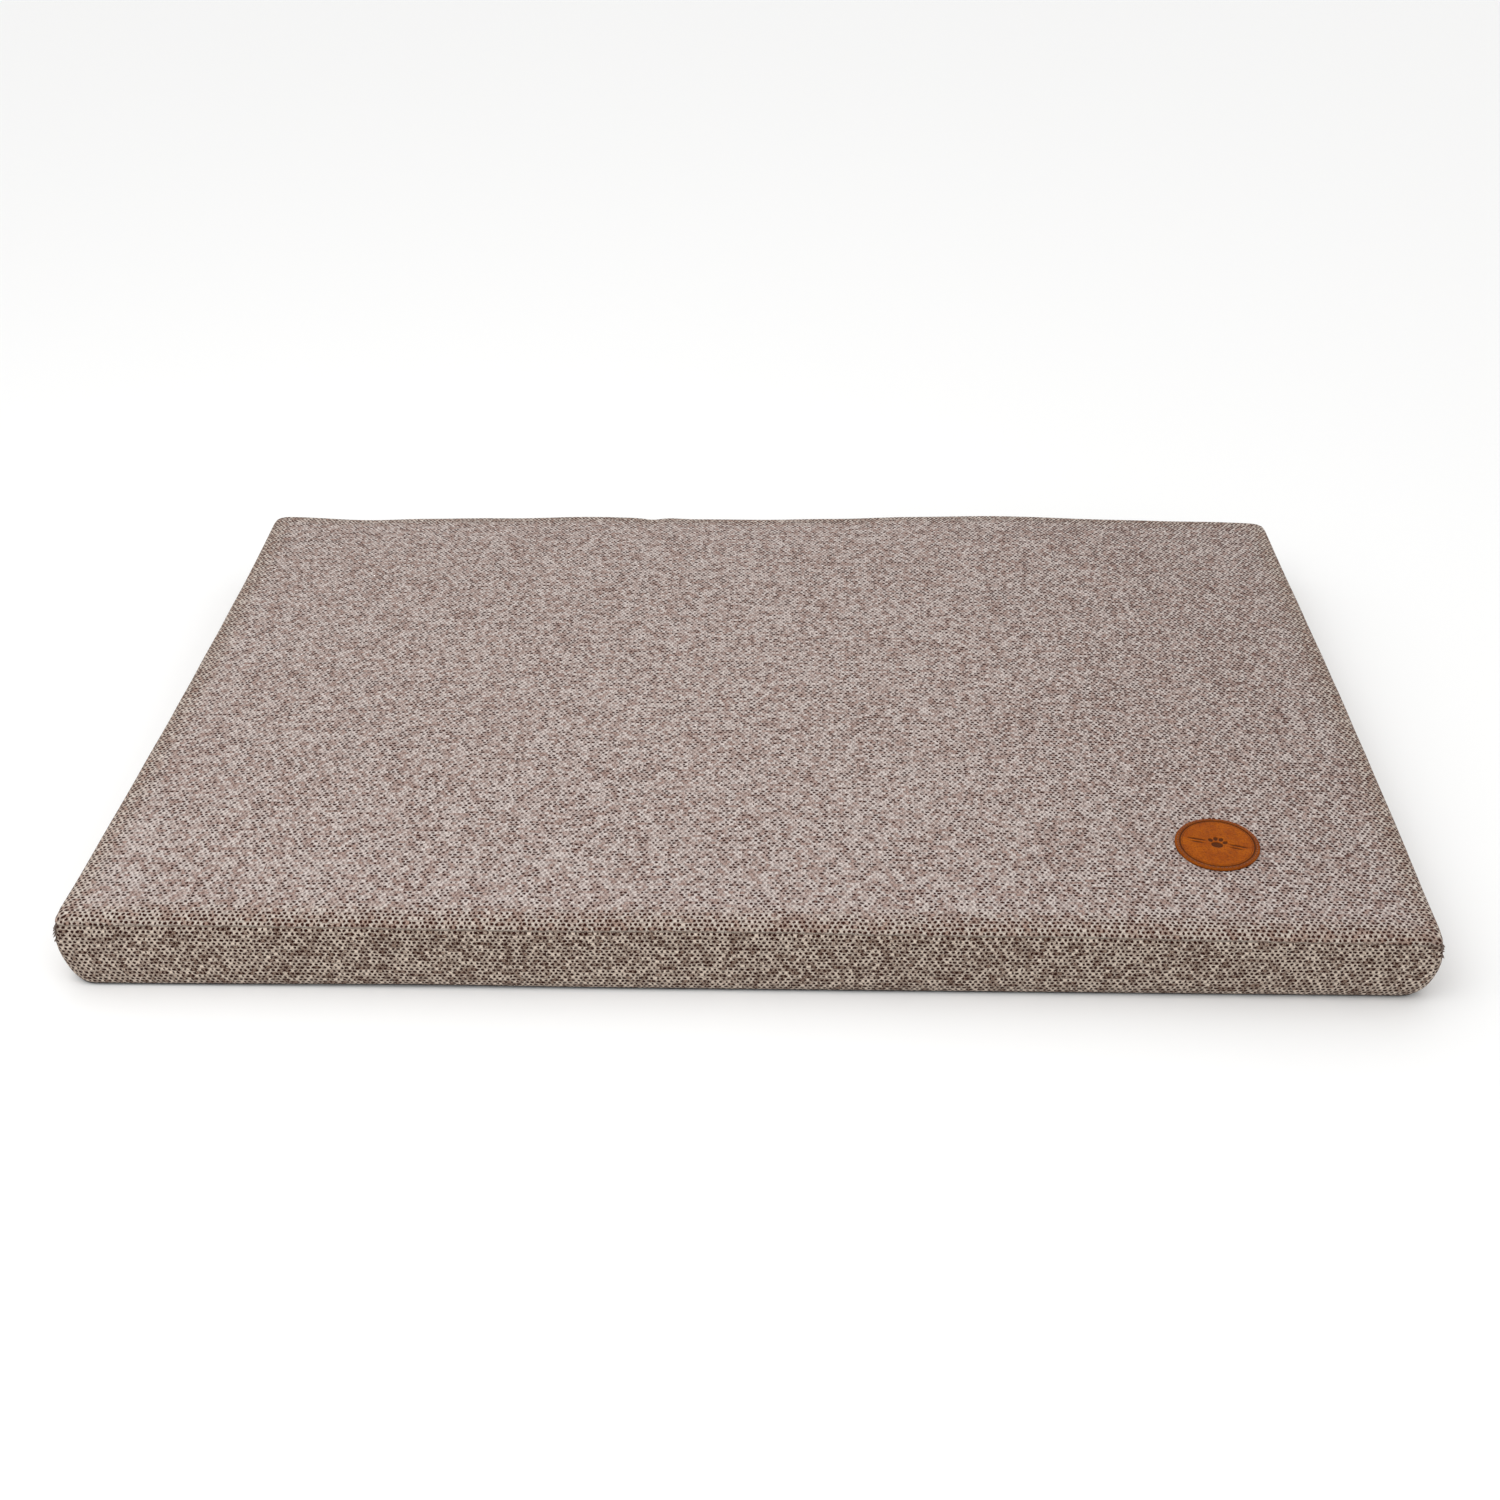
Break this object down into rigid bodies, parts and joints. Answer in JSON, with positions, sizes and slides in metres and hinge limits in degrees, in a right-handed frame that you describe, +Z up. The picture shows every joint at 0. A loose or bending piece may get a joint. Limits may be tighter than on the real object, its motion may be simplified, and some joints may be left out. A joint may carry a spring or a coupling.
{
  "type": "pet cushion bed",
  "caption": "Flat rectangular boxed pet cushion: foam core in a woven zip-off cover with a dark base and a round leather badge.",
  "frame": {"origin": "centre of the base, on the floor", "axes": "+X along the long side, +Y to the zipped back wall, +Z up; the badge is at the front right"},
  "size_m": [0.9, 0.6, 0.06],
  "materials": {
    "woven_top": "chunky two-tone weave, cream loops over dark brown",
    "woven_band": "the same weave, seen side on with darker gaps",
    "base_fabric": "dark plain-weave underside",
    "foam": "open-cell foam",
    "fibre": "soft polyester fibre",
    "liner": "thin plain-weave inner case",
    "seam_thread": "brown sewing thread",
    "base_thread": "black sewing thread",
    "zip_tape": "dark brown woven tape",
    "zip_nylon": "dark brown nylon coil",
    "zip_metal": "dark enamel over die-cast metal",
    "badge_leather": "smooth tan-brown leather with a pressed groove",
    "badge_thread": "brown sewing thread"
  },
  "bodies": {
    "cushion": {"foam_core": "foam", "fibre_wadding": "fibre", "inner_liner_upper": "liner", "inner_liner_lower": "liner", "top_panel": "woven_top", "side_band": "woven_band", "base_panel": "base_fabric", "top_seam": "seam_thread", "base_seam": "base_thread", "back_strip_upper": "woven_band", "back_strip_lower": "woven_band", "zip_tape_upper": "zip_tape", "zip_tape_lower": "zip_tape", "zip_coil_upper": "zip_nylon", "zip_coil_lower": "zip_nylon", "zip_top_stops": "zip_metal", "zip_bottom_stop": "zip_metal", "zip_stitching_upper": "seam_thread", "zip_stitching_lower": "seam_thread", "band_end_seams": "seam_thread", "leather_badge": "badge_leather", "badge_stitching": "badge_thread"},
    "slider": {"zip_slider": "zip_metal"},
    "pull": {"zip_pull": "zip_metal"}
  },
  "joints": [
    {"name": "zip_slide", "type": "slide", "parent": "cushion", "child": "slider", "axis": [1, 0, 0], "range_m": [-0.77, 0]},
    {"name": "pull_swing", "type": "hinge", "parent": "slider", "child": "pull", "pos_m": [0.385, 0.2979, 0.027], "axis": [0, 0, 1], "range_deg": [-175, 0]}
  ]
}
